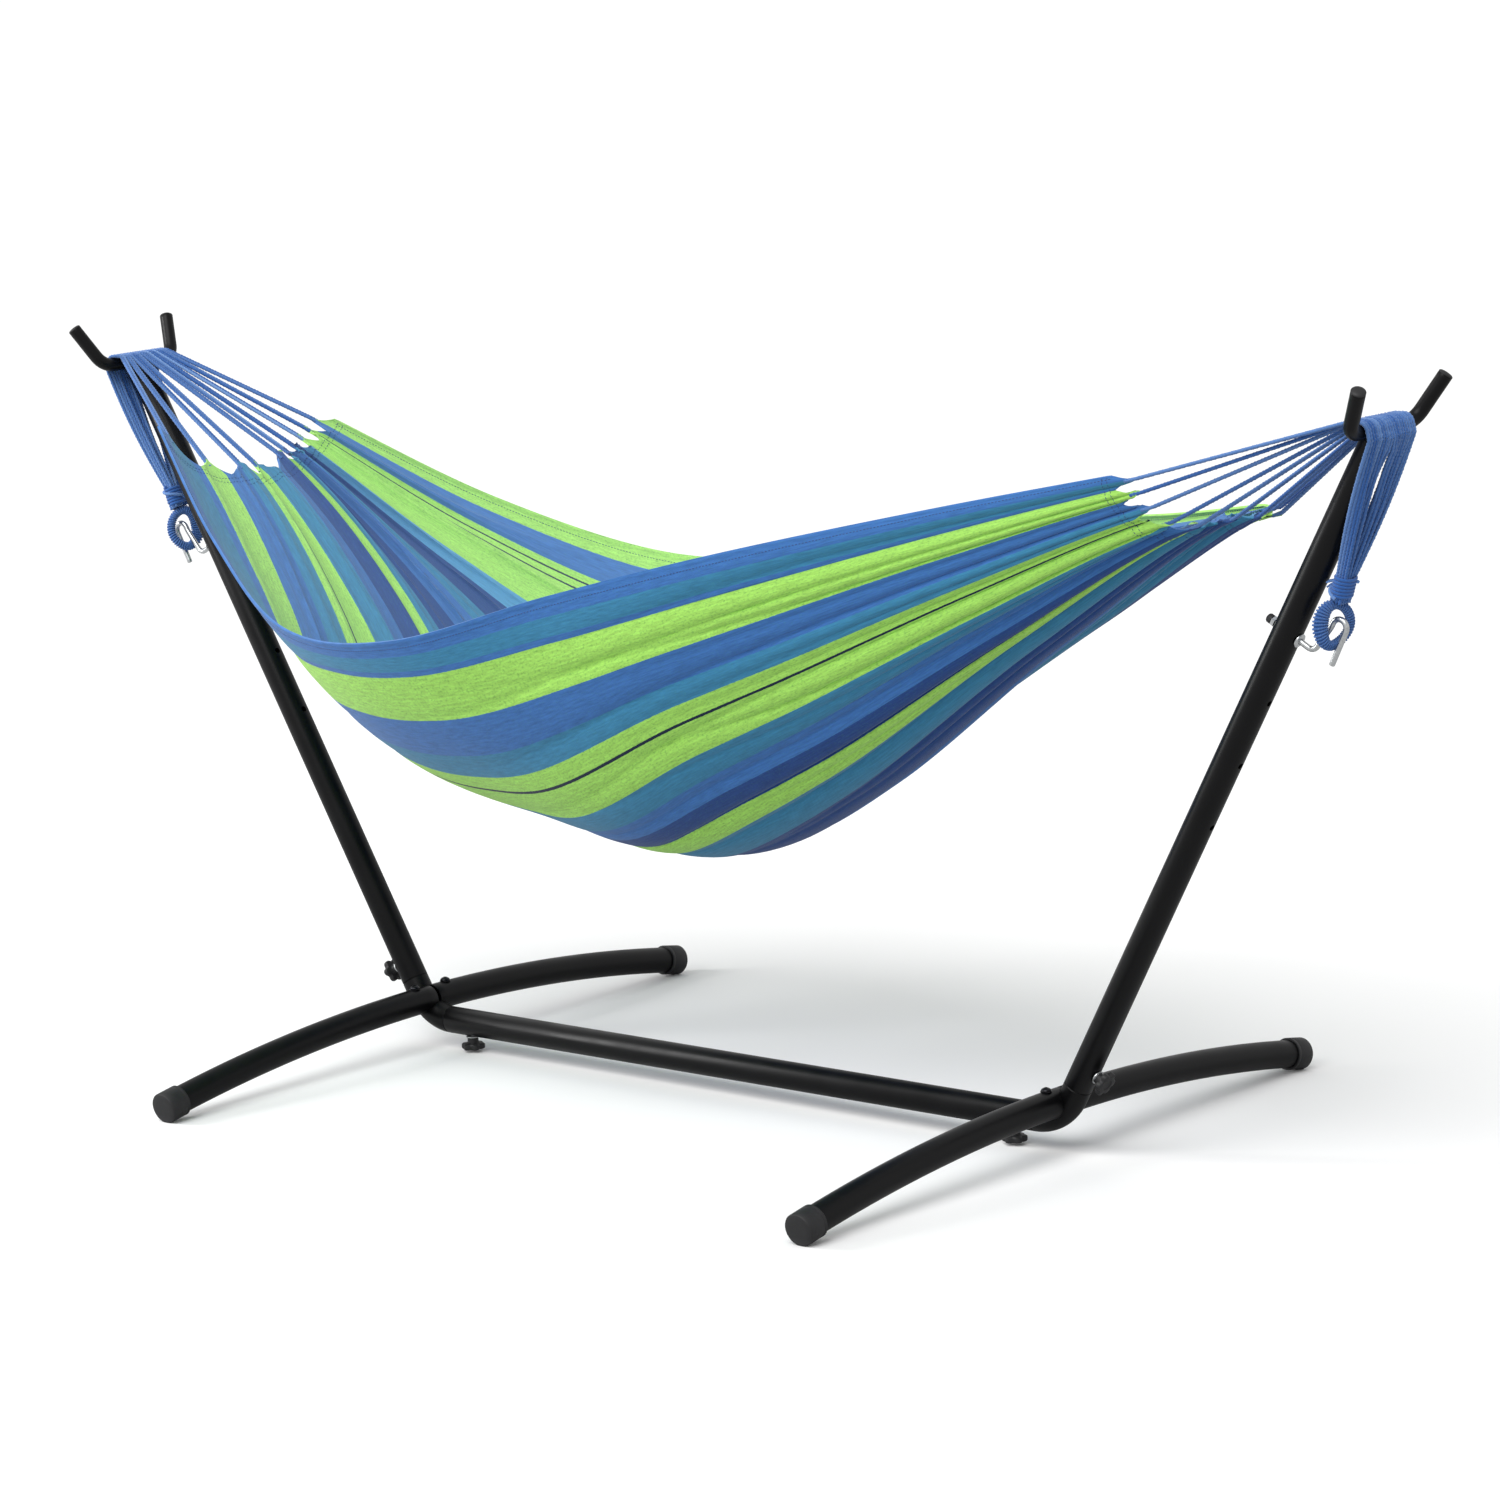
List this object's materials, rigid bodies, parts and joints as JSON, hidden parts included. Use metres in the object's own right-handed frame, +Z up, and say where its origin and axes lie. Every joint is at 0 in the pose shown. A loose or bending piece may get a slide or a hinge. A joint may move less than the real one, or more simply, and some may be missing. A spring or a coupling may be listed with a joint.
{
  "type": "hammock with stand",
  "caption": "Striped cloth hammock hung by fanned strings from forked hooks on a tubular steel stand with leaning uprights, arched feet and clamping knobs.",
  "frame": {"origin": "on the floor, under the middle of the stand", "axes": "+X along the base tube towards the right-hand end, +Y towards the back, +Z up"},
  "size_m": [2.4208, 1.0996, 1.0801],
  "materials": {
    "black_powder_coat": "satin black powder coat",
    "black_plastic": "matte moulded black",
    "black_bolt": "black oxide, slightly glossy",
    "zinc_plate": "bright zinc plate",
    "blue_string": "twisted royal blue cotton string",
    "striped_cloth": "soft woven cotton in stripes of green, blue, teal and navy"
  },
  "bodies": {
    "stand": {"base_tube": "black_powder_coat", "left_corner_joint": "black_powder_coat", "left_upright": "black_powder_coat", "left_forked_hook": "black_powder_coat", "left_front_foot": "black_powder_coat", "left_front_foot_cap": "black_plastic", "left_front_foot_bolt": "black_bolt", "left_front_hook_tip": "black_plastic", "left_back_foot": "black_powder_coat", "left_back_foot_cap": "black_plastic", "left_back_foot_bolt": "black_bolt", "left_back_hook_tip": "black_plastic", "left_hook_bolt": "zinc_plate", "left_hook_bolt_washer": "zinc_plate", "left_hook_bolt_nut": "zinc_plate", "left_hook_bolt_cap": "black_plastic", "left_string_band": "blue_string", "left_string_whipping": "blue_string", "left_string_eye": "blue_string", "right_corner_joint": "black_powder_coat", "right_upright": "black_powder_coat", "right_forked_hook": "black_powder_coat", "right_front_foot": "black_powder_coat", "right_front_foot_cap": "black_plastic", "right_front_foot_bolt": "black_bolt", "right_front_hook_tip": "black_plastic", "right_back_foot": "black_powder_coat", "right_back_foot_cap": "black_plastic", "right_back_foot_bolt": "black_bolt", "right_back_hook_tip": "black_plastic", "right_hook_bolt": "zinc_plate", "right_hook_bolt_washer": "zinc_plate", "right_hook_bolt_nut": "zinc_plate", "right_hook_bolt_cap": "black_plastic", "right_string_band": "blue_string", "right_string_whipping": "blue_string", "right_string_eye": "blue_string"},
    "hammock": {"hammock_cloth": "striped_cloth", "left_strings": "blue_string", "right_strings": "blue_string"},
    "left_base_knob_set": {"left_base_knob": "black_plastic", "left_base_stud": "zinc_plate", "left_base_washer": "zinc_plate"},
    "left_upright_knob_set": {"left_upright_knob": "black_plastic", "left_upright_stud": "zinc_plate", "left_upright_washer": "zinc_plate"},
    "right_base_knob_set": {"right_base_knob": "black_plastic", "right_base_stud": "zinc_plate", "right_base_washer": "zinc_plate"},
    "right_upright_knob_set": {"right_upright_knob": "black_plastic", "right_upright_stud": "zinc_plate", "right_upright_washer": "zinc_plate"}
  },
  "joints": [
    {"name": "hammock_swing", "type": "hinge", "parent": "stand", "child": "hammock", "pos_m": [0, 0, 1.0277], "axis": [1, 0, 0], "range_deg": [-30, 30]},
    {"name": "left_base_knob_turn", "type": "hinge", "parent": "stand", "child": "left_base_knob_set", "pos_m": [-0.522, 0, 0.02], "axis": [0, 0, -1], "continuous": true},
    {"name": "left_upright_knob_turn", "type": "hinge", "parent": "stand", "child": "left_upright_knob_set", "pos_m": [-0.67898, 0, 0.10867], "axis": [-0.866, 0, -0.5], "continuous": true},
    {"name": "right_base_knob_turn", "type": "hinge", "parent": "stand", "child": "right_base_knob_set", "pos_m": [0.522, 0, 0.02], "axis": [0, 0, -1], "continuous": true},
    {"name": "right_upright_knob_turn", "type": "hinge", "parent": "stand", "child": "right_upright_knob_set", "pos_m": [0.67898, 0, 0.10867], "axis": [0.866, 0, -0.5], "continuous": true}
  ]
}
